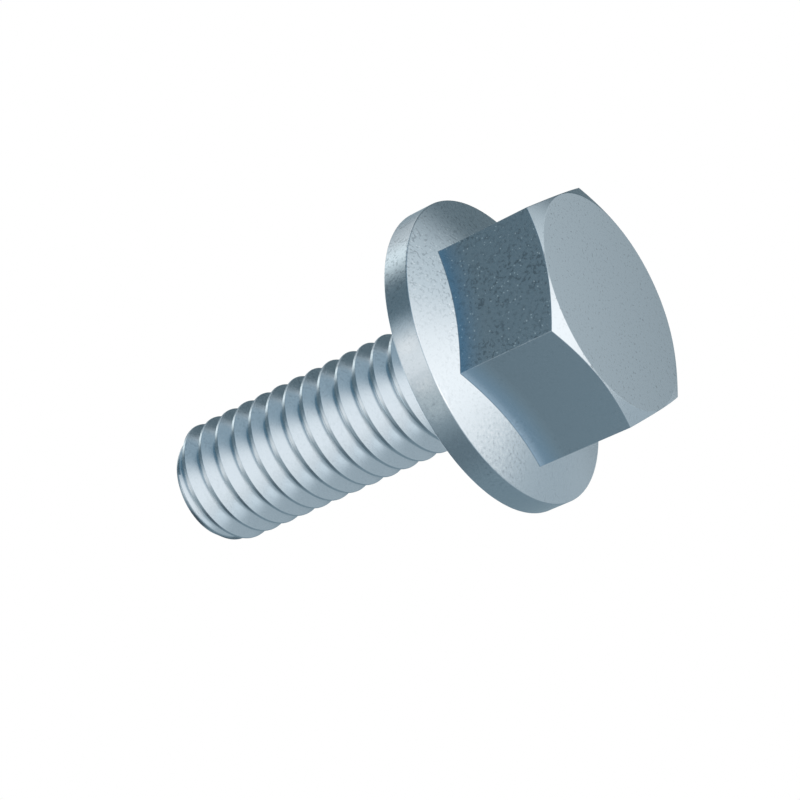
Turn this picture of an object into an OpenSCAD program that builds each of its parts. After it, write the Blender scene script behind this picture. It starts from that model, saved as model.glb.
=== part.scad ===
// Hexagon flange bolt with a rolled metric thread that runs up to the head.
// It stands on its head: the origin is the middle of the head's end face, and the thread points up.

/* [Hexagon] */
// Width of the hexagon across its flats
across_flats = 10; // [8:0.1:12]
// Height of the head, from its end face to the bearing face
head_h = 6.6; // [5:0.1:9]
// How far inside the flats the round edge of the end face lies
end_inset = 0.02; // [0.01:0.01:0.5]
// Angle of the chamfer on the hexagon's corners, from the end face
corner_chamfer = 25; // [15:1:35]

/* [Flange] */
// Diameter of the flange
flange_d = 14.15; // [12.5:0.05:18]
// Thickness of the flange at its rim
rim_h = 1.17; // [0.6:0.01:1.6]
// Angle of the flange's sloping top, from the bearing face
flange_slope = 21; // [10:1:30]
// Radius of the rim's two rounded edges
rim_round = 0.1; // [0.05:0.01:0.2]

/* [Shank] */
// Length of the shank, from the bearing face to the tip
shank_l = 15.85; // [8:0.05:60]
// Diameter of the plain neck under the head
neck_d = 5.3; // [5:0.05:5.5]
// Length of the plain neck
neck_l = 0.8; // [0.5:0.1:3]
// Radius of the fillet between the neck and the bearing face
neck_fillet = 0.3; // [0.1:0.05:0.4]

/* [Thread] */
// Major diameter of the thread
thread_d = 5.85; // [5.7:0.01:6.3]
// Pitch of the thread
pitch = 1; // [0.75:0.05:1.2]
// Radius of the thread's rounded crests
crest_r = 0.16; // [0.08:0.01:0.3]
// Radius of the thread's rounded roots
root_r = 0.13; // [0.08:0.01:0.2]
// Angle around the bolt at which a crest would cross the bearing face
thread_turn = -54; // [-180:1:180]
// Length over which the thread fades into the neck
runout_l = 1; // [0.5:0.1:2]
// Diameter of the tip's flat end
tip_d = 4.75; // [4:0.05:5.4]
// Angle of the tip's chamfer, from the bolt's axis
tip_chamfer = 37; // [30:1:60]

/* [Hidden] */

zinc = "#b4c3cd";
hexagon_sides = 6;
round_fn = 96;

// Half of the metric thread's 60 degree groove, and where its flanks leave the round crests and roots
half_groove = 30;
flank_turn = 90 - half_groove;
thread_depth = pitch / 2 / tan(half_groove) - crest_r - root_r;

// Points of one thread form, as [distance along the axis from the crest's middle, depth under the crest]
crest_form = [for (a = [-flank_turn, -flank_turn / 3, flank_turn / 3, flank_turn])
    [crest_r * sin(a), crest_r * (1 - cos(a))]];
root_form = [for (a = [-flank_turn, 0, flank_turn])
    [pitch / 2 + root_r * sin(a), thread_depth - root_r * (1 - cos(a))]];
form = concat(crest_form, root_form);

// The thread's surface is a net: columns around the bolt, and in each the form repeated turn after turn
columns = 40;
// A net point this near an end of the thread is left out
end_reach = 0.01;
thread_top = shank_l;
crest_at_zero = -pitch * thread_turn / 360;
first_crest = crest_at_zero + pitch * floor((neck_l - crest_at_zero) / pitch - 1);
turns = ceil((thread_top - first_crest) / pitch) + 2;
rows = turns * len(form);

// Height over the bearing face and radius of a point of the net
function net_z(column, row) = first_crest + pitch * (column / columns + floor(row / len(form)))
    + form[row % len(form)][0];
function fade(z) = min(1, max(0, (z - neck_l) / runout_l));
function full_r(row) = thread_d / 2 - form[row % len(form)][1];
function faded_r(z, row) = neck_d / 2 + (full_r(row) - neck_d / 2) * fade(z);
function chamfer_r(z) = tip_d / 2 + (thread_top - z) * tan(tip_chamfer);
function net_r(z, row) = min(faded_r(z, row), chamfer_r(z));

// A net point's number in the list of points: past either end of the thread it is the end ring's point
function inner_column(column) = column % columns;
function inner_row(column, row) = row + floor(column / columns) * len(form);
function point_id(column, row) = let (c = inner_column(column), r = inner_row(column, row), z = net_z(c, r))
    z <= neck_l + end_reach ? c : z >= thread_top - end_reach ? columns + c : columns * (2 + r) + c;
function ring(r, z) = [for (c = [0:columns - 1]) [r * cos(360 * c / columns), r * sin(360 * c / columns), z]];
function row_points(row) = [for (c = [0:columns - 1])
    let (z = net_z(c, row), r = net_r(z, row)) [r * cos(360 * c / columns), r * sin(360 * c / columns), z]];
function is_real(f) = f[0] != f[1] && f[1] != f[2] && f[2] != f[0];

module hexagon() {
    wide = head_h / tan(corner_chamfer);
    end_r = across_flats / 2 - end_inset;
    intersection() {
        cylinder(h = head_h, d = across_flats / cos(180 / hexagon_sides), $fn = hexagon_sides);
        cylinder(h = head_h, r1 = end_r, r2 = end_r + wide, $fn = round_fn);
    }
}

module flange() {
    r = flange_d / 2;
    // Middle of the round that joins the rim to the sloping top, over the bearing face
    upper = rim_h - rim_round * (1 - sin(flange_slope)) / cos(flange_slope);
    mirror([0, 0, 1]) rotate_extrude($fn = round_fn) {
        polygon([
            [0, 0],
            [r - rim_round, 0],
            [r, rim_round],
            [r, upper],
            [r - rim_round * (1 - sin(flange_slope)), upper + rim_round * cos(flange_slope)],
            [0, rim_h + r * tan(flange_slope)]
        ]);
        translate([r - rim_round, rim_round]) circle(r = rim_round);
        translate([r - rim_round, upper]) circle(r = rim_round);
    }
}

module neck() {
    r = neck_d / 2;
    rotate_extrude($fn = round_fn) difference() {
        square([r + neck_fillet, neck_l]);
        translate([r + neck_fillet, neck_fillet]) circle(r = neck_fillet);
        translate([r, neck_fillet]) square([2 * neck_fillet, neck_l]);
    }
}

module thread() {
    seat = 0.02;
    points = concat(
        ring(neck_d / 2 - seat, neck_l),
        ring(tip_d / 2, thread_top),
        [for (row = [0:rows - 1]) each row_points(row)]
    );
    sides = [for (c = [0:columns - 1], row = [0:rows - len(form) - 2])
        let (a = point_id(c, row), b = point_id(c + 1, row))
        let (d = point_id(c, row + 1), e = point_id(c + 1, row + 1))
        each [[a, e, b], [a, d, e]]];
    bottom = [for (c = [0:columns - 1]) c];
    top = [for (c = [columns - 1:-1:0]) columns + c];
    polyhedron(points = points, faces = concat([bottom, top], [for (f = sides) if (is_real(f)) f]));
}

module flange_bolt() {
    color(zinc) {
        translate([0, 0, head_h]) {
            thread();
            neck();
            flange();
        }
        hexagon();
    }
}

flange_bolt();
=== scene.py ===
"""Zinc-plated hexagon flange bolt, standing on its head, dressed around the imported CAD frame."""
import math

import bpy
import numpy as np
from mathutils import Matrix, Vector


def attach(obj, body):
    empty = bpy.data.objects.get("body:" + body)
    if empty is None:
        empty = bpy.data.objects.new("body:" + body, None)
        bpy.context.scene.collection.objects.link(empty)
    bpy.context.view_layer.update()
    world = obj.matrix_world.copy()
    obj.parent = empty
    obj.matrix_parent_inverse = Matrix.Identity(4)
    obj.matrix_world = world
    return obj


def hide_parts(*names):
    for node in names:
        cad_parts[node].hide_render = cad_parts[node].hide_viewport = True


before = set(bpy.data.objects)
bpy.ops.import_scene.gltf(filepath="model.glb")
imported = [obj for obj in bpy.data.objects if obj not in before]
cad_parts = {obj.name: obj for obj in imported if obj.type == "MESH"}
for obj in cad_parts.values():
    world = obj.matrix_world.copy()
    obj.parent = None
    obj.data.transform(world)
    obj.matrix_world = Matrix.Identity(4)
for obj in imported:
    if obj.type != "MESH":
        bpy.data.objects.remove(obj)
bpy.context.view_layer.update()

MM = 0.001
NODE = "flange_bolt"

# The bolt's sizes in millimetres, as in the CAD model. Only the edge of the end face is sharper: there the
# CAD model has an inset of 0.02 and a chamfer of 25 degrees.
ACROSS_FLATS = 10.0
HEAD_H = 6.6
END_INSET = 0.035
CORNER_CHAMFER = math.radians(24.5)
FLANGE_D = 14.15
RIM_H = 1.17
FLANGE_SLOPE = math.radians(21)
SHANK_L = 15.85
NECK_D = 5.3
NECK_L = 0.8
NECK_FILLET = 0.3
THREAD_D = 5.85
PITCH = 1.0
CREST_R = 0.16
ROOT_R = 0.13
THREAD_TURN = -54.0
RUNOUT_L = 1.0
TIP_D = 4.75
TIP_CHAMFER = math.radians(37)

# Small rounds that only the eye needs, in millimetres
CORNER_ROUND = 0.006
END_ROUND = 0.03
CHAMFER_ROUND = 0.03
FLANGE_FILLET = 0.02
RIM_ROUND = 0.05
BEARING_ROUND = 0.03
TIP_ROUND = 0.05
ROUND_STEPS = 6

# How near two heights or radii are when they count as one, in millimetres
HAIR = 0.002
SMALL_STEP = 0.01

# Tilt of the thread's shading from the radial direction in degrees, by distance from the crest's middle. The
# five before the crest follow another program's fit to the photograph, and the rest are set by hand.
SHADE_AT = [-0.5, -0.42, -0.36, -0.2, -0.065, -0.04, 0.15, 0.2, 0.36, 0.42, 0.5]
SHADE_TILT = [-10, -22, -38, -46, -47, 0, 0, 45, 40, 20, -10]

# Tilt of the tip's cone from the radial direction in degrees, by distance from its edge
TIP_AT = [0, 0.42, 0.5]
TIP_TILT = [5, 5, 37]

# Tilt of the flats' shading towards the head's end in degrees, by distance from the flange
FOOT_AT = [0, 0.4, 0.8, 1.4]
FOOT_TILT = [20, 10, 4, 0]

# The plating's colours. Its roughness is that of bright zinc plate, which blurs what it mirrors a little.
ZINC = "#b4c0c8"
# The next colour is a painted reflection: a lighter blue band along the foot of the flats, in place of what
# they mirror there
ZINC_PAINTED_REFLECTION = "#a8c0d4"
ZINC_DARK = "#5a666e"
ZINC_BRIGHT = "#f2f6f8"
ROUGHNESS = 0.25

# Sizes of the plating's pattern in millimetres. The real grain is a few hundredths wide, less than a pixel
# of the render, so it is drawn three pixels wide.
FINE_GRAIN = 0.13
COARSE_GRAIN = 0.15
CLUSTERS = 1.5
CRYSTALS = 0.24

# How far each layer turns the zinc's colour into its tint: painted reflection, painted highlights, pattern
FOOT_REFLECTION_TINT = 0.75
RIM_HIGHLIGHT_TINT = 0.33
DOT_TINT = 0.4
BLOTCH_TINT = 0.5
CRYSTAL_TINT = 0.9

# Heights between which the head's pattern becomes the flange's, in millimetres, and the direction in which
# the flange's plating gets coarser
FLANGE_FROM = 4.4
FLANGE_TO = 5.0
COARSER_TOWARDS = (0.96, -0.28, 0)

# Frosted patches on the flange's slope and rim: middle and reach in millimetres, and the tint of their
# bright and of their dark strokes
FROSTED = [
    ((-5.6, -2.6, 5.1), 2.2, 0.1, 0.25),
    ((-3.9, -5.9, 6.4), 1.6, 0.12, 0.12),
]

# Painted highlights on the flange's rim, lighter base colour that widens its highlight: middle and reach in
# millimetres
PAINTED_RIM_HIGHLIGHTS = [((-1.17, -6.98, 6.05), 1.1), ((-3.95, -5.85, 5.85), 1.2)]

# The photograph's view of the bolt, solved from its edges
VIEW_AZIMUTH = -29.33
VIEW_ELEVATION = -29.38
VIEW_ROLL = -115.03
VIEW_DISTANCE = 103.16
VIEW_HEIGHT = 11.26
LENS = 104.53
SENSOR = 36.0


def linear(hex_colour):
    """Turns an sRGB hex colour into linear red, green, blue and an alpha of 1."""
    values = [int(hex_colour[i:i + 2], 16) / 255 for i in (1, 3, 5)]
    return tuple(v / 12.92 if v <= 0.04045 else ((v + 0.055) / 1.055) ** 2.4 for v in values) + (1.0,)


def add_node(tree, kind, settings=None, inputs=None):
    """Adds a node to a tree with its settings and inputs: a socket is linked, anything else is set."""
    node = tree.nodes.new(kind)
    for name, value in (settings or {}).items():
        setattr(node, name, value)
    for name, value in (inputs or {}).items():
        if isinstance(value, bpy.types.NodeSocket):
            tree.links.new(value, node.inputs[name])
        else:
            node.inputs[name].default_value = value
    return node


def empty_material(name):
    """A new material and its node tree, with nothing in it."""
    material = bpy.data.materials.new(name)
    material.use_nodes = True
    material.node_tree.nodes.clear()
    return material, material.node_tree


def column_angles():
    """Angles of the surface's columns in radians: even steps, and closer ones at the six corners."""
    near = np.array([0, 0.035, 0.25, 0.6])
    sector = np.concatenate([near, np.arange(2, 59, 2), 60 - near[:0:-1]])
    return np.radians(np.concatenate([sector + 60 * i for i in range(6)]))


def hexagon_radius(angle):
    """Distance from the axis to the hexagon's side at an angle. A flat is at a / cos(angle to the flat's
    middle), and near a corner it is the far root of the corner's small circle."""
    apothem = ACROSS_FLATS / 2
    from_corner = np.abs((angle + math.pi / 6) % (math.pi / 3) - math.pi / 6)
    flat = apothem / np.cos(math.pi / 6 - from_corner)
    centre = (apothem - CORNER_ROUND) / math.cos(math.pi / 6)
    across = centre * np.sin(from_corner)
    inside = np.maximum(CORNER_ROUND ** 2 - across ** 2, 0)
    round_part = centre * np.cos(from_corner) + np.sqrt(inside)
    tangent = math.atan2(CORNER_ROUND * 0.5, centre + CORNER_ROUND * math.cos(math.pi / 6))
    return np.where(from_corner < tangent, round_part, flat)


def unit(v):
    """The vectors made one long."""
    return v / np.maximum(np.linalg.norm(v, axis=-1, keepdims=True), 1e-12)


def rounded_profiles(corners, radii, lead=0.03):
    """Rounds the inner corners of one outline for each column. Each corner becomes an arc that is tangent
    to both its sides, swept between its two ends, with a lead point on each side to keep the faces flat.
    A radius is cut back where a side is too short for it."""
    points = [corners[:, :1]]
    for i in range(1, corners.shape[1] - 1):
        here = corners[:, i]
        back = corners[:, i - 1] - here
        ahead = corners[:, i + 1] - here
        u, w = unit(back), unit(ahead)
        half = np.arccos(np.clip((u * w).sum(-1), -1, 1)) / 2
        room = 0.4 * np.minimum(np.linalg.norm(back, axis=-1), np.linalg.norm(ahead, axis=-1))
        reach = np.minimum(radii[i] / np.tan(half), room)
        radius = reach * np.tan(half)
        centre = here + unit(u + w) * (reach / np.cos(half))[:, None]
        start, end = here + u * reach[:, None] - centre, here + w * reach[:, None] - centre
        sweep = np.maximum(math.pi - 2 * half, 1e-6)[:, None, None]
        t = np.linspace(0, 1, ROUND_STEPS)[None, :, None]
        arc = (np.sin((1 - t) * sweep) * start[:, None] + np.sin(t * sweep) * end[:, None]) / np.sin(sweep)
        lead_in = np.minimum(lead, room)[:, None]
        points.append((here + u * (reach[:, None] + lead_in))[:, None])
        points.append(centre[:, None] + arc)
        points.append((here + w * (reach[:, None] + lead_in))[:, None])
    points.append(corners[:, -1:])
    return np.concatenate(points, axis=1)


def head_surface(angles):
    """Head, flange and neck as a grid of columns and rows: each column's outline runs from the middle of
    the end face over the chamfer, the flat, the sloping flange and its rim, across the bearing face and up
    the neck. Only the hexagon's radius changes from column to column. A few more rows lie on the flat,
    where its shading turns."""
    side = hexagon_radius(angles)
    full = np.ones_like(side)
    end_r = ACROSS_FLATS / 2 - END_INSET
    rim_r = FLANGE_D / 2
    outline = [
        (0 * full, 0 * full),
        (end_r * full, 0 * full),
        (side, (side - end_r) * math.tan(CORNER_CHAMFER)),
        (side, HEAD_H - RIM_H - (rim_r - side) * math.tan(FLANGE_SLOPE)),
        (rim_r * full, (HEAD_H - RIM_H) * full),
        (rim_r * full, HEAD_H * full),
        (NECK_D / 2 * full, HEAD_H * full),
        (NECK_D / 2 * full, (HEAD_H + NECK_L) * full),
    ]
    corners = np.stack([np.stack(p, axis=-1) for p in outline], axis=1)
    radii = [0, END_ROUND, CHAMFER_ROUND, FLANGE_FILLET, RIM_ROUND, BEARING_ROUND, NECK_FILLET, 0]
    rows = rounded_profiles(corners, radii)
    foot_row = 1 + 2 * (ROUND_STEPS + 2)
    foot = rows[:, foot_row]
    on_flat = [foot - [0, 1] * np.full_like(foot, d) for d in FOOT_AT[:0:-1]]
    return np.concatenate([rows[:, :foot_row], np.stack(on_flat, axis=1), rows[:, foot_row:]], axis=1)


def thread_depth(along):
    """Depth under the crest at a distance from the crest's middle, both in millimetres: a round
    crest, straight 30 degree flanks and a round root."""
    side = np.abs((along + PITCH / 2) % PITCH - PITCH / 2)
    half_crest, half_root = CREST_R * math.sin(math.radians(60)), ROOT_R * math.sin(math.radians(60))
    full = PITCH * math.cos(math.radians(30)) - CREST_R - ROOT_R
    crest = CREST_R - np.sqrt(np.maximum(CREST_R ** 2 - side ** 2, 0))
    flank = CREST_R / 2 + (side - half_crest) * math.tan(math.radians(60))
    root = full - ROOT_R + np.sqrt(np.maximum(ROOT_R ** 2 - (PITCH / 2 - side) ** 2, 0))
    return np.where(side <= half_crest, crest, np.where(PITCH / 2 - side <= half_root, root, flank))


def thread_form():
    """One pitch of the thread as points along the axis from the crest's middle, and their depths. The points
    are closest where the form or its shading turns."""
    half_crest, half_root = CREST_R * math.sin(math.radians(60)), ROOT_R * math.sin(math.radians(60))
    crest = [-half_crest, -0.1, -0.065, -0.04, 0, 0.04, 0.08, 0.12, half_crest]
    root = [PITCH / 2 + x for x in (-0.14, -half_root, -0.08, -0.04, 0, 0.04, 0.08, half_root, 0.14)]
    along = np.array(crest + [0.15, 0.2] + root + [0.7, 0.8])
    return np.column_stack([along, thread_depth(along)])


def run_in(height):
    """How much of the thread's form there is at a height over the bearing face: a smooth step."""
    t = np.clip((height - NECK_L) / RUNOUT_L, 0, 1)
    return t * t * (3 - 2 * t)


def thread_surface(angles):
    """Thread as columns round the bolt, in each of which the form repeats from turn to turn, a pitch
    higher for each full turn. It fades in from the neck and is cut by the tip's cone. Returns the radius
    and height of each point, over the bearing face."""
    form = thread_form()
    at_zero = -PITCH * THREAD_TURN / 360
    first = at_zero + PITCH * math.floor((NECK_L - at_zero) / PITCH - 1)
    turns = math.ceil((SHANK_L - first) / PITCH) + 2
    along = (np.arange(turns)[:, None] * PITCH + form[:, 0]).ravel()
    depth = np.tile(form[:, 1], turns)
    z = first + PITCH * angles[:, None] / (2 * math.pi) + along[None, :]
    r = NECK_D / 2 + (THREAD_D / 2 - depth[None, :] - NECK_D / 2) * run_in(z)
    cone = TIP_D / 2 + (SHANK_L - z) * math.tan(TIP_CHAMFER)
    return np.minimum(r, cone), z, len(form)


def bolt_mesh():
    """The whole bolt as one closed surface: the head's grid, the thread's net and the tip's flat end share
    the rings where they meet. A net point past either end of the thread is that end's ring point, and the
    triangles that this flattens are left out."""
    angles = column_angles()
    n = len(angles)
    outward = np.column_stack([np.cos(angles), np.sin(angles)])

    def placed(r, z):
        """Points at radius r and height z in each column, row after row."""
        xy = outward[:, None, :] * r[..., None]
        return np.concatenate([xy, z[..., None]], axis=-1).transpose(1, 0, 2).reshape(-1, 3)

    head = head_surface(angles)[:, 1:]
    head_rows = head.shape[1]
    r, z, form_rows = thread_surface(angles)
    rows = r.shape[1]
    tip = [(TIP_D / 2, SHANK_L), (TIP_D / 2 - TIP_ROUND, SHANK_L)]
    tip_r = np.tile([p[0] for p in tip], (n, 1))
    tip_z = np.tile([p[1] for p in tip], (n, 1)) + HEAD_H
    points = np.concatenate([
        [[0, 0, 0], [0, 0, HEAD_H + SHANK_L]],
        placed(head[..., 0], head[..., 1]),
        placed(r, z + HEAD_H),
        placed(tip_r, tip_z),
    ])
    head_at, thread_at = 2, 2 + head_rows * n
    tip_at = thread_at + rows * n

    def grid_id(start, row, column):
        return start + row * n + column % n

    def strips(a, b, d, e):
        """Two triangles for each cell, facing outwards."""
        lower, upper = np.stack([a, b, e], -1), np.stack([a, e, d], -1)
        return np.concatenate([lower.reshape(-1, 3), upper.reshape(-1, 3)])

    column = np.arange(n)[None, :]
    row = np.arange(head_rows - 1)[:, None]
    head_faces = strips(*[grid_id(head_at, row + i, column + j) for i, j in ((0, 0), (0, 1), (1, 0), (1, 1))])

    at_end = 2 * HAIR

    def thread_id(row, column):
        """The number of a net point: the neck's ring, the tip's ring or its own."""
        wrapped = row + (column // n) * form_rows
        here = z[column % n, wrapped]
        own = grid_id(thread_at, wrapped, column)
        neck = grid_id(head_at, head_rows - 1, column)
        tip_ring = grid_id(tip_at, 0, column)
        return np.where(here <= NECK_L + at_end, neck, np.where(here >= SHANK_L - at_end, tip_ring, own))

    row = np.arange(rows - form_rows - 1)[:, None]
    column_grid = np.broadcast_to(column, (len(row), n))
    row_grid = np.broadcast_to(row, (len(row), n))
    cells = [thread_id(row_grid + i, column_grid + j) for i, j in ((0, 0), (0, 1), (1, 0), (1, 1))]
    thread_faces = strips(*cells)
    real = (thread_faces[:, 0] != thread_faces[:, 1]) & (thread_faces[:, 1] != thread_faces[:, 2])
    real &= thread_faces[:, 2] != thread_faces[:, 0]
    thread_faces = thread_faces[real]

    one = np.arange(n)
    tip_faces = strips(*[grid_id(tip_at, i, one + j) for i, j in ((0, 0), (0, 1), (1, 0), (1, 1))])
    foot_fan = np.stack([np.full(n, 0), grid_id(head_at, 0, one + 1), grid_id(head_at, 0, one)], -1)
    tip_fan = np.stack([np.full(n, 1), grid_id(tip_at, 1, one), grid_id(tip_at, 1, one + 1)], -1)
    faces = np.concatenate([head_faces, thread_faces, tip_faces, foot_fan, tip_fan])

    used, faces = np.unique(faces, return_inverse=True)
    points = points[used] * MM
    mesh = bpy.data.meshes.new("flange_bolt_surface")
    mesh.from_pydata(points.tolist(), [], faces.reshape(-1, 3).tolist())
    mesh.shade_smooth()
    mesh.validate()
    shade(mesh)
    return mesh


def leaning(outward, tilt):
    """Unit vectors that lean from an outward direction towards +Z by a tilt in degrees."""
    tilt = np.radians(tilt)[:, None]
    return outward * np.cos(tilt) + np.array([0, 0, 1]) * np.sin(tilt)


def shade(mesh):
    """Gives the bolt the shading of the photographed one where it is finer than the solid form. The thread's
    crest looks flat with a crisp edge, its flanks lean 45 degrees and its root is soft; the tilt is read from
    the distance to the crest's middle. The flats turn a little towards the head's end at the flange, and the
    tip's cone turns outwards at its edge."""
    count = len(mesh.vertices)
    place, normal = np.empty(3 * count), np.empty(3 * count)
    mesh.vertices.foreach_get("co", place)
    mesh.vertex_normals.foreach_get("vector", normal)
    place, normal = place.reshape(-1, 3) / MM, normal.reshape(-1, 3)
    radius = np.hypot(place[:, 0], place[:, 1])
    height = place[:, 2] - HEAD_H
    turned = np.arctan2(place[:, 1], place[:, 0]) / (2 * math.pi) - THREAD_TURN / 360
    along = (height - PITCH * turned + PITCH / 2) % PITCH - PITCH / 2
    on_thread = (height > NECK_L) & (height < SHANK_L - SMALL_STEP)
    cone = TIP_D / 2 + (SHANK_L - height) * math.tan(TIP_CHAMFER)
    on_thread &= radius < cone - HAIR
    thread = leaning(unit(place * [1, 1, 0]), np.interp(along, SHADE_AT, SHADE_TILT) * run_in(height))
    to_flange = -RIM_H - (FLANGE_D / 2 - radius) * math.tan(FLANGE_SLOPE) - height
    upright = np.abs(normal[:, 2]) < 2 * SMALL_STEP
    on_flat = upright & (radius < 0.6 * ACROSS_FLATS) & (to_flange > -SMALL_STEP)
    flat = leaning(unit(normal * [1, 1, 0]), -np.interp(to_flange, FOOT_AT, FOOT_TILT))
    on_tip = (height > SHANK_L - PITCH) & (np.abs(radius - cone) < HAIR)
    tip = leaning(unit(place * [1, 1, 0]), np.interp(SHANK_L - height, TIP_AT, TIP_TILT))
    for part, shading in ((on_thread, thread), (on_flat, flat), (on_tip, tip)):
        normal[part] = shading[part]
    mesh.normals_split_custom_set_from_vertices(normal.tolist())


def soft_mask(tree, steps, mask=None):
    """A mask that is the product of smooth steps and of the mask it starts from. In each step the value goes
    from low to high while its field goes from start to end."""
    for field, start, end, low, high in steps:
        step = add_node(tree, "ShaderNodeMapRange", {"interpolation_type": "SMOOTHSTEP"}, {
            "Value": field, "From Min": start, "From Max": end, "To Min": low, "To Max": high,
        }).outputs["Result"]
        if mask is None:
            mask = step
        else:
            mask = add_node(tree, "ShaderNodeMath", {"operation": "MULTIPLY"}, {0: mask, 1: step}).outputs[0]
    return mask


def bolt_fields(tree, place):
    """Where a point is on the bolt, in metres: its height over the end face, its distance from the axis, its
    height over the chamfer's and over the flange's cone, and its place across the head, towards the side
    that is coarser."""
    parts = add_node(tree, "ShaderNodeSeparateXYZ", inputs={"Vector": place}).outputs
    radial = add_node(tree, "ShaderNodeVectorMath", {"operation": "MULTIPLY"}, {0: place, 1: (1, 1, 0)})
    radius = add_node(tree, "ShaderNodeVectorMath", {"operation": "LENGTH"}, {0: radial.outputs[0]})
    radius = radius.outputs["Value"]
    over = []
    for slope in (CORNER_CHAMFER, FLANGE_SLOPE):
        cone = add_node(tree, "ShaderNodeMath", {"operation": "MULTIPLY_ADD"},
                        {0: radius, 1: -math.tan(slope), 2: parts["Z"]})
        over.append(cone.outputs[0])
    across = add_node(tree, "ShaderNodeVectorMath", {"operation": "DOT_PRODUCT"},
                      {0: place, 1: COARSER_TOWARDS})
    return parts["X"], parts["Z"], radius, over[0], over[1], across.outputs["Value"]


def grain_fields(tree, place):
    """The plating's grain: fine and coarse noise, wide noise that gathers it in clusters, and the distance to
    the nearest crystal."""
    fields = []
    for size, detail in ((FINE_GRAIN, 1.0), (COARSE_GRAIN, 3.0), (CLUSTERS, 1.0)):
        noise = add_node(tree, "ShaderNodeTexNoise", inputs={
            "Vector": place, "Scale": 1 / (size * MM), "Detail": detail})
        fields.append(noise.outputs["Fac"])
    crystal = add_node(tree, "ShaderNodeTexVoronoi", inputs={"Vector": place, "Scale": 1 / (CRYSTALS * MM)})
    return fields + [crystal.outputs["Distance"]]


def patch_step(tree, place, point, reach):
    """The step of a soft round patch: 1 near a point, and 0 from a reach on, both in millimetres."""
    middle = [c * MM for c in point]
    away = add_node(tree, "ShaderNodeVectorMath", {"operation": "DISTANCE"}, {0: place, 1: middle})
    return away.outputs["Value"], 0.3 * reach * MM, reach * MM, 1.0, 0.0


def plating_layers(tree, place):
    """The tints that lie on the zinc, each with its strength and the mask of its place and pattern: a painted
    reflection along the foot of the flats, painted highlights on the rim, and the plating's grain. The masks
    turn at the bolt's own edges: the end face, the chamfer, the hexagon's corners, the flange and its rim."""
    x, height, radius, over_chamfer, over_flange, across = bolt_fields(tree, place)
    fine, coarse, cluster, crystal = grain_fields(tree, place)
    chamfer_z = -(ACROSS_FLATS / 2 - END_INSET) * math.tan(CORNER_CHAMFER)
    flange_z = HEAD_H - RIM_H - FLANGE_D / 2 * math.tan(FLANGE_SLOPE)
    corner_x = -ACROSS_FLATS / 2 * math.tan(math.pi / 6)

    # Painted reflection: a lighter blue band along the foot of the flats, fading out 1.4 mm above the flange
    painted_foot_reflection = soft_mask(tree, [
        (over_flange, (flange_z - 1.4) * MM, (flange_z - 0.3) * MM, 0.0, 1.0),
        (over_flange, (flange_z - 0.03) * MM, flange_z * MM, 1.0, 0.0),
    ])
    layers = [(ZINC_PAINTED_REFLECTION, FOOT_REFLECTION_TINT, painted_foot_reflection)]

    # Painted highlights: lighter base colour on the rim, so that its highlight reaches further
    on_rim = (radius, (FLANGE_D / 2 - 0.075) * MM, (FLANGE_D / 2 - 0.015) * MM, 0.0, 1.0)
    for point, reach in PAINTED_RIM_HIGHLIGHTS:
        near = patch_step(tree, place, point, reach)
        layers.append((ZINC_BRIGHT, RIM_HIGHLIGHT_TINT, soft_mask(tree, [on_rim, near])))

    crowded = (cluster, 0.35, 0.60, 0.45, 1.0)
    fewer_off_end = (height, 0.004 * MM, 0.03 * MM, 1.0, 0.25)
    fewer_on_thread = (height, (HEAD_H - 0.1) * MM, HEAD_H * MM, 1.0, 0.2)
    dots = soft_mask(tree, [(fine, 0.28, 0.40, 1.0, 0.0), fewer_off_end, crowded, fewer_on_thread])
    layers.append((ZINC_DARK, DOT_TINT, dots))

    coarser_side = add_node(tree, "ShaderNodeMix", {"data_type": "FLOAT"}, {
        "Factor": soft_mask(tree, [(height, FLANGE_FROM * MM, FLANGE_TO * MM, 0.0, 1.0)]),
        "A": soft_mask(tree, [(x, (corner_x - 0.05) * MM, (corner_x + 0.1) * MM, 0.0, 1.0)]),
        "B": soft_mask(tree, [(across, 0.0, 4.5 * MM, 0.1, 0.8)]),
    }).outputs["Result"]
    coarser = soft_mask(tree, [
        (height, 0.004 * MM, 0.03 * MM, 0.0, 1.0),
        (over_chamfer, (chamfer_z + 0.02) * MM, (chamfer_z + 0.1) * MM, 0.0, 1.0),
    ], coarser_side)
    # The blotches thin out under the painted reflection along the flats' foot
    under_painted_reflection = (painted_foot_reflection, 0.0, 1.0, 1.0, 0.45)
    blotches = soft_mask(tree, [(coarse, 0.36, 0.48, 1.0, 0.0), crowded, under_painted_reflection], coarser)
    layers.append((ZINC_DARK, BLOTCH_TINT, blotches))
    fewer_on_flange = (height, FLANGE_FROM * MM, FLANGE_TO * MM, 1.0, 0.35)
    crystals = soft_mask(tree, [(crystal, 0.12, 0.18, 1.0, 0.0), fewer_on_flange], coarser)
    layers.append((ZINC_BRIGHT, CRYSTAL_TINT, crystals))

    for point, reach, bright, dark in FROSTED:
        near = patch_step(tree, place, point, reach)
        layers.append((ZINC_BRIGHT, bright, soft_mask(tree, [(coarse, 0.50, 0.62, 0.0, 1.0), near])))
        layers.append((ZINC_DARK, dark, soft_mask(tree, [(coarse, 0.32, 0.42, 1.0, 0.0), near])))
    return layers


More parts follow.
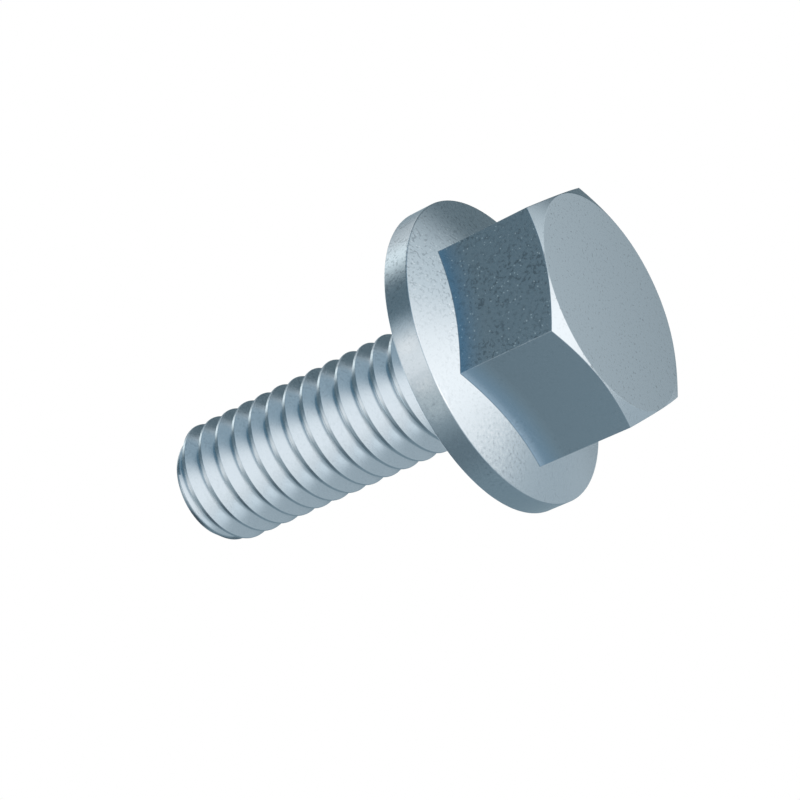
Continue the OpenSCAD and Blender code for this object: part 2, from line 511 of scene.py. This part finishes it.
def zinc_plate():
    """Zinc-plated steel, blue passivated: bright metal, with a painted reflection along the foot of the
    flats, a lighter blue band. The zinc grew on the forged blank in a bath, so it has fine dark dots that
    gather in clusters. On one side of the head it is coarser, with dark blotches of about 0.2 mm between
    which small crystals shine, and the flange has two frosted patches and two painted highlights on its rim."""
    material, tree = empty_material("zinc_plated_steel_blue_passivated")
    place = add_node(tree, "ShaderNodeTexCoord").outputs["Object"]
    colour = linear(ZINC)
    for tint, strength, mask in plating_layers(tree, place):
        amount = add_node(tree, "ShaderNodeMath", {"operation": "MULTIPLY"}, {0: mask, 1: strength})
        colour = add_node(tree, "ShaderNodeMix", {"data_type": "RGBA", "clamp_factor": True}, {
            "A": colour, "B": linear(tint), "Factor": amount.outputs[0]}).outputs["Result"]
    metal = add_node(tree, "ShaderNodeBsdfPrincipled", inputs={
        "Base Color": colour, "Metallic": 1.0, "Roughness": ROUGHNESS})
    add_node(tree, "ShaderNodeOutputMaterial", inputs={"Surface": metal.outputs["BSDF"]})
    return material


def make_bolt():
    """The bolt's surface stands for the CAD node. It isn't mirrored in itself, as in the photograph."""
    bolt = bpy.data.objects.new("bolt_surface", bolt_mesh())
    bpy.context.scene.collection.objects.link(bolt)
    bolt.data.materials.append(zinc_plate())
    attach(bolt, "root")
    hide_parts(NODE)
    bolt.visible_glossy = False


def place_camera():
    """The camera looks at a point on the bolt's axis, from below the head, and is rolled to the left."""
    azimuth, elevation = math.radians(VIEW_AZIMUTH), math.radians(VIEW_ELEVATION)
    back = Vector((
        math.sin(azimuth) * math.cos(elevation),
        -math.cos(azimuth) * math.cos(elevation),
        math.sin(elevation),
    ))
    data = bpy.data.cameras.new("camera")
    data.lens = LENS
    data.sensor_width = SENSOR
    data.clip_start, data.clip_end = 0.005, 5.0
    camera = bpy.data.objects.new("camera", data)
    bpy.context.scene.collection.objects.link(camera)
    upright = back.to_track_quat("Z", "Y").to_matrix()
    camera.matrix_world = (
        Matrix.Translation(Vector((0, 0, VIEW_HEIGHT * MM)) + back * VIEW_DISTANCE * MM)
        @ (upright @ Matrix.Rotation(math.radians(VIEW_ROLL), 3, "Z")).to_4x4()
    )
    bpy.context.scene.camera = camera


def direction(azimuth, elevation):
    """The unit vector at an azimuth from +X towards +Y and an elevation, in degrees."""
    a, e = math.radians(azimuth), math.radians(elevation)
    return np.array([math.cos(a) * math.cos(e), math.sin(a) * math.cos(e), math.sin(e)])


# The studio's cards, the farthest first: azimuth and elevation of the middle, half-width of the even part
# and of the whole in degrees, and the light in linear red, green and blue. Those over 1 are soft boxes, the
# others are grey and blue-grey cards that the metal mirrors. Another program fitted these numbers to the
# photograph's pixels, and all but eight of them are its results, rounded.
CARDS = [
    (132, 20, 72, 83, (0.61, 0.68, 0.72)),
    (138, 70, 69, 80, (0.31, 0.40, 0.45)),
    (-63, -21, 50, 61, (0.48, 0.60, 0.68)),
    (86, 81, 27, 38, (1.38, 1.53, 1.61)),
    (176, -37, 2, 25, (1.28, 1.33, 1.37)),
    (37, -14, 31, 42, (0.18, 0.24, 0.27)),
    (-55, -6, 18, 29, (0.12, 0.24, 0.33)),
    (-44, 22, 19, 30, (0.16, 0.23, 0.27)),
    (-171, 49, 5, 33, (0.05, 0.07, 0.09)),
    (-126, 16, 11, 35, (0.58, 0.65, 0.68)),
    (-112, -50, 16, 51, (1.52, 1.48, 1.47)),
    (53, -50, 19, 31, (1.03, 1.08, 1.10)),
    (64, -83, 8, 35, (2.03, 1.88, 1.80)),
    (-99, 26, 4, 25, (1.65, 1.56, 1.51)),
    (-17, 34, 2, 19, (1.92, 1.97, 1.93)),
]
CARD_MIDDLE = 11 * MM
CARD_NEAREST = 400 * MM
CARD_STEP = 10 * MM
CARD_RINGS = 12
CARD_SECTORS = 48

# The floor's half width, and how far it lies under the bolt
FLOOR_HALF = 1500 * MM
FLOOR_GAP = 0.02 * MM
FLOOR_PAINT = "#f4f4f3"


def white_world():
    """A plain white surround of strength 1, for the camera and for all light. The metal's own rays find it
    and the cards, so neither is sampled as a lamp."""
    world = bpy.data.worlds.new("white_surround")
    bpy.context.scene.world = world
    world.use_nodes = True
    world.cycles.sampling_method = "NONE"
    tree = world.node_tree
    tree.nodes.clear()
    white = add_node(tree, "ShaderNodeBackground", inputs={"Color": (1, 1, 1, 1), "Strength": 1.0})
    add_node(tree, "ShaderNodeOutputWorld", inputs={"Surface": white.outputs[0]})


def card_mesh(middle, width, radius):
    """A round card as a patch of a sphere around the bolt. Its point at angle t from the middle m and angle s
    round it is radius * (m cos t + (u cos s + v sin s) sin t), with u and v square to m."""
    u = unit(np.cross(middle, [0.36, 0.48, 0.8]))
    v = np.cross(middle, u)
    t = np.radians(np.linspace(0, width, CARD_RINGS + 1)[1:])[:, None, None]
    s = np.radians(np.arange(CARD_SECTORS) * 360 / CARD_SECTORS)[None, :, None]
    rings = middle * np.cos(t) + (u * np.cos(s) + v * np.sin(s)) * np.sin(t)
    points = np.concatenate([[middle], rings.reshape(-1, 3)]) * radius + [0, 0, CARD_MIDDLE]
    here = np.arange(CARD_SECTORS)
    ahead = (here + 1) % CARD_SECTORS
    inner = 1 + CARD_SECTORS * np.arange(CARD_RINGS - 1)[:, None]
    outer = inner + CARD_SECTORS
    fan = np.stack([0 * here, 1 + here, 1 + ahead], -1)
    bands = np.stack([inner + here, outer + here, outer + ahead, inner + ahead], -1).reshape(-1, 4)
    mesh = bpy.data.meshes.new("studio_card")
    mesh.from_pydata(points.tolist(), [], fan.tolist() + bands.tolist())
    return mesh


def card_light(name, middle, even, width, light):
    """A card that glows evenly in its middle and fades out smoothly to its edge."""
    material, tree = empty_material(name)
    material.cycles.emission_sampling = "NONE"
    place = add_node(tree, "ShaderNodeTexCoord").outputs["Object"]
    centre = (0, 0, CARD_MIDDLE)
    ray = add_node(tree, "ShaderNodeVectorMath", {"operation": "SUBTRACT"}, {0: place, 1: centre}).outputs[0]
    ray = add_node(tree, "ShaderNodeVectorMath", {"operation": "NORMALIZE"}, {0: ray}).outputs[0]
    cosine = add_node(tree, "ShaderNodeVectorMath", {"operation": "DOT_PRODUCT"}, {0: ray, 1: middle})
    angle = add_node(tree, "ShaderNodeMath", {"operation": "ARCCOSINE"}, {0: cosine.outputs["Value"]})
    cover = soft_mask(tree, [(angle.outputs[0], math.radians(even), math.radians(width), 1.0, 0.0)])
    level = max(light)
    glow = add_node(tree, "ShaderNodeEmission",
                    inputs={"Color": tuple(c / level for c in light) + (1.0,), "Strength": level})
    clear = add_node(tree, "ShaderNodeBsdfTransparent")
    mix = add_node(tree, "ShaderNodeMixShader", inputs={0: cover, 1: clear.outputs[0], 2: glow.outputs[0]})
    add_node(tree, "ShaderNodeOutputMaterial", inputs={"Surface": mix.outputs[0]})
    return material


def make_cards():
    """The cards stand one before the other, and only what the metal mirrors shows them."""
    for i, (azimuth, elevation, even, width, light) in enumerate(CARDS):
        middle = direction(azimuth, elevation)
        radius = CARD_NEAREST + CARD_STEP * (len(CARDS) - 1 - i)
        card = bpy.data.objects.new("studio_card", card_mesh(middle, width, radius))
        bpy.context.scene.collection.objects.link(card)
        card.data.materials.append(card_light("soft_card", middle, even, width, light))
        card.visible_camera = card.visible_diffuse = card.visible_shadow = False


def make_floor():
    """A pale floor just under the bolt. It shows from above only, because the photograph looks up at the
    bolt from below it, and the metal mirrors the cards in its place."""
    mesh = bpy.data.meshes.new("floor")
    corners = [(x * FLOOR_HALF, y * FLOOR_HALF, -FLOOR_GAP) for x, y in ((-1, -1), (1, -1), (1, 1), (-1, 1))]
    mesh.from_pydata(corners, [], [(0, 1, 2, 3)])
    floor = bpy.data.objects.new("floor", mesh)
    bpy.context.scene.collection.objects.link(floor)
    material, tree = empty_material("pale_floor")
    paint = add_node(tree, "ShaderNodeBsdfPrincipled", inputs={
        "Base Color": linear(FLOOR_PAINT), "Roughness": 1.0, "Specular IOR Level": 0.0})
    clear = add_node(tree, "ShaderNodeBsdfTransparent")
    back = add_node(tree, "ShaderNodeNewGeometry").outputs["Backfacing"]
    mix = add_node(tree, "ShaderNodeMixShader", inputs={0: back, 1: paint.outputs[0], 2: clear.outputs[0]})
    add_node(tree, "ShaderNodeOutputMaterial", inputs={"Surface": mix.outputs[0]})
    mesh.materials.append(material)
    floor.visible_glossy = False


def main():
    make_bolt()
    place_camera()
    white_world()
    make_cards()
    make_floor()
    bpy.context.scene.view_settings.view_transform = "Standard"


main()
